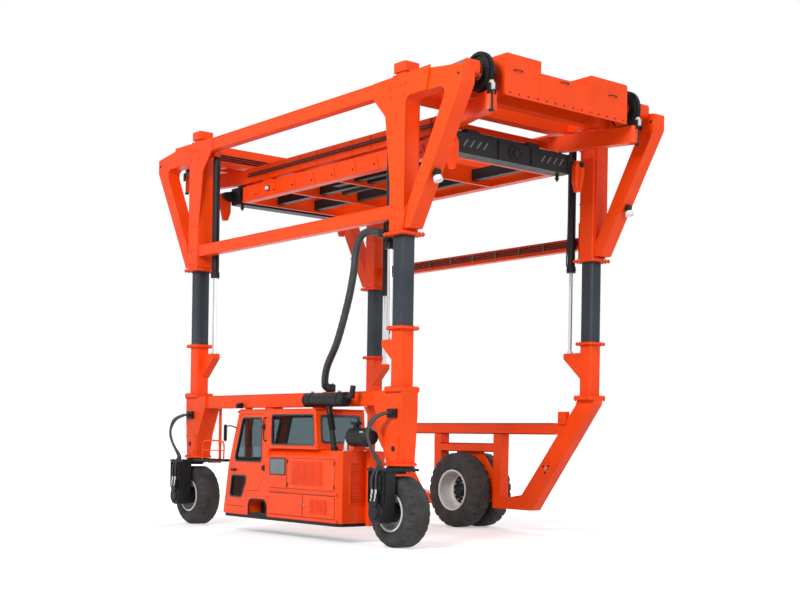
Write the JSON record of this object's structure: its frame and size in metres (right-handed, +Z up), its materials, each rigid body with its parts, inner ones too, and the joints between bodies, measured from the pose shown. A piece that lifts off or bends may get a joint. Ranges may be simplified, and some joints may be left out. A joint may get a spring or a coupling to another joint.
{
  "type": "straddle carrier",
  "caption": "Self-propelled straddle carrier: lower frames with cab and wheels, telescopic masts, lifting upper frame, chain hoist and container spreader.",
  "frame": {"origin": "on the ground, under the middle of the machine", "axes": "+Y forwards along the machine, +X to its right, +Z up"},
  "size_m": [4.9, 8.54, 7.07],
  "materials": {
    "orange_paint": "gloss",
    "cab_paint": "gloss",
    "mast_steel": "satin",
    "chrome": "polished",
    "black_steel": "satin",
    "tyre_rubber": "matt",
    "rim_paint": "satin",
    "hose_rubber": "matt",
    "seat_vinyl": "matt",
    "engine_iron": "matt",
    "glass": "clear",
    "bright_steel": "zinc plated",
    "grey_steel": "satin",
    "lamp_lens": "gloss",
    "dark_plastic": "matt"
  },
  "bodies": {
    "chassis": {"left_lower_frame": "orange_paint", "right_lower_frame": "orange_paint", "lower_leg_front_left": "orange_paint", "lower_leg_front_right": "orange_paint", "lower_leg_rear_left": "orange_paint", "lower_leg_rear_right": "orange_paint", "mast_front_left": "mast_steel", "mast_front_right": "mast_steel", "mast_rear_left": "mast_steel", "mast_rear_right": "mast_steel", "lift_rod_front_left": "chrome", "lift_rod_front_right": "chrome", "lift_rod_rear_left": "chrome", "lift_rod_rear_right": "chrome", "engine_floor": "black_steel", "cab_shell": "cab_paint", "cab_seat": "seat_vinyl", "engine_hood": "cab_paint", "engine_block": "engine_iron", "exhaust_silencer": "black_steel", "air_cleaner": "black_steel", "umbilical_hose": "hose_rubber"},
    "cab_door": {"cab_door": "cab_paint"},
    "steering_front": {"knuckle_front": "black_steel"},
    "steering_rear": {"knuckle_rear": "black_steel"},
    "wheel_front": {"wheel_rim_front": "rim_paint", "wheel_tyre_front": "tyre_rubber"},
    "wheel_rear": {"wheel_rim_rear": "rim_paint", "wheel_tyre_rear": "tyre_rubber"},
    "twin_wheel": {"twin_wheel_rims": "rim_paint", "twin_tyre_inner": "tyre_rubber", "twin_tyre_outer": "tyre_rubber"},
    "upper_frame": {"upper_frame_left": "orange_paint", "upper_frame_right": "orange_paint", "crossbeam_front": "orange_paint", "crossbeam_rear": "orange_paint", "hoist_cover": "orange_paint", "lift_cylinder_front_left": "black_steel", "lift_cylinder_front_right": "black_steel", "lift_cylinder_rear_left": "black_steel", "lift_cylinder_rear_right": "black_steel"},
    "hoist_shaft_front": {"hoist_shaft_front": "black_steel"},
    "hoist_shaft_rear": {"hoist_shaft_rear": "black_steel"},
    "head": {"head_frame": "orange_paint", "spreader_frame": "orange_paint"},
    "spreader_front": {"spreader_end_front": "black_steel"},
    "spreader_rear": {"spreader_end_rear": "black_steel"},
    "flipper_front_left": {"flipper_front_left": "orange_paint"},
    "flipper_front_right": {"flipper_front_right": "orange_paint"},
    "flipper_rear_left": {"flipper_rear_left": "orange_paint"},
    "flipper_rear_right": {"flipper_rear_right": "orange_paint"}
  },
  "joints": [
    {"name": "frame_lift", "type": "slide", "parent": "chassis", "child": "upper_frame", "axis": [0, 0, 1], "range_m": [-1.3, 0.6], "deforming": ["umbilical_hose"]},
    {"name": "head_hoist", "type": "slide", "parent": "upper_frame", "child": "head", "axis": [0, 0, 1], "range_m": [-2.6, 0]},
    {"name": "spreader_front_slide", "type": "slide", "parent": "head", "child": "spreader_front", "axis": [0, 1, 0], "range_m": [0, 3.066]},
    {"name": "spreader_rear_slide", "type": "slide", "parent": "head", "child": "spreader_rear", "axis": [0, -1, 0], "range_m": [0, 3.066]},
    {"name": "steer_front", "type": "hinge", "parent": "chassis", "child": "steering_front", "pos_m": [-2, 2.9, 1.19], "axis": [0, 0, 1], "range_deg": [-90, 90]},
    {"name": "steer_rear", "type": "hinge", "parent": "chassis", "child": "steering_rear", "pos_m": [-2, -2.9, 1.19], "axis": [0, 0, 1], "range_deg": [-90, 90]},
    {"name": "wheel_front_spin", "type": "hinge", "parent": "steering_front", "child": "wheel_front", "pos_m": [-2, 2.9, 0.52], "axis": [1, 0, 0], "continuous": true},
    {"name": "wheel_rear_spin", "type": "hinge", "parent": "steering_rear", "child": "wheel_rear", "pos_m": [-2, -2.9, 0.52], "axis": [1, 0, 0], "continuous": true},
    {"name": "twin_wheel_spin", "type": "hinge", "parent": "chassis", "child": "twin_wheel", "pos_m": [2, 0, 0.675], "axis": [1, 0, 0], "continuous": true},
    {"name": "cab_door_hinge", "type": "hinge", "parent": "chassis", "child": "cab_door", "pos_m": [-2.457, 0.03, 1.2], "axis": [0, 0, 1], "range_deg": [0, 85]},
    {"name": "hoist_front_spin", "type": "hinge", "parent": "upper_frame", "child": "hoist_shaft_front", "pos_m": [0, 3.97, 6.78], "axis": [1, 0, 0], "continuous": true},
    {"name": "hoist_rear_spin", "type": "hinge", "parent": "upper_frame", "child": "hoist_shaft_rear", "pos_m": [0, -3.97, 6.78], "axis": [1, 0, 0], "continuous": true},
    {"name": "flipper_front_left_hinge", "type": "hinge", "parent": "spreader_front", "child": "flipper_front_left", "pos_m": [-1.38, 3.18, 6.02], "axis": [0, 1, 0], "range_deg": [0, 160]},
    {"name": "flipper_front_right_hinge", "type": "hinge", "parent": "spreader_front", "child": "flipper_front_right", "pos_m": [1.38, 3.18, 6.02], "axis": [0, -1, 0], "range_deg": [0, 160]},
    {"name": "flipper_rear_left_hinge", "type": "hinge", "parent": "spreader_rear", "child": "flipper_rear_left", "pos_m": [-1.38, -3.18, 6.02], "axis": [0, 1, 0], "range_deg": [0, 160]},
    {"name": "flipper_rear_right_hinge", "type": "hinge", "parent": "spreader_rear", "child": "flipper_rear_right", "pos_m": [1.38, -3.18, 6.02], "axis": [0, -1, 0], "range_deg": [0, 160]}
  ],
  "couplings": [
    {"joint": "spreader_rear_slide", "follows": "spreader_front_slide", "ratio": 1},
    {"joint": "hoist_rear_spin", "follows": "head_hoist", "rad_per_m": -3.7037},
    {"joint": "hoist_front_spin", "follows": "head_hoist", "rad_per_m": 3.7037},
    {"joint": "flipper_front_right_hinge", "follows": "flipper_front_left_hinge", "ratio": 1},
    {"joint": "flipper_rear_left_hinge", "follows": "flipper_front_left_hinge", "ratio": 1},
    {"joint": "flipper_rear_right_hinge", "follows": "flipper_front_left_hinge", "ratio": 1}
  ]
}
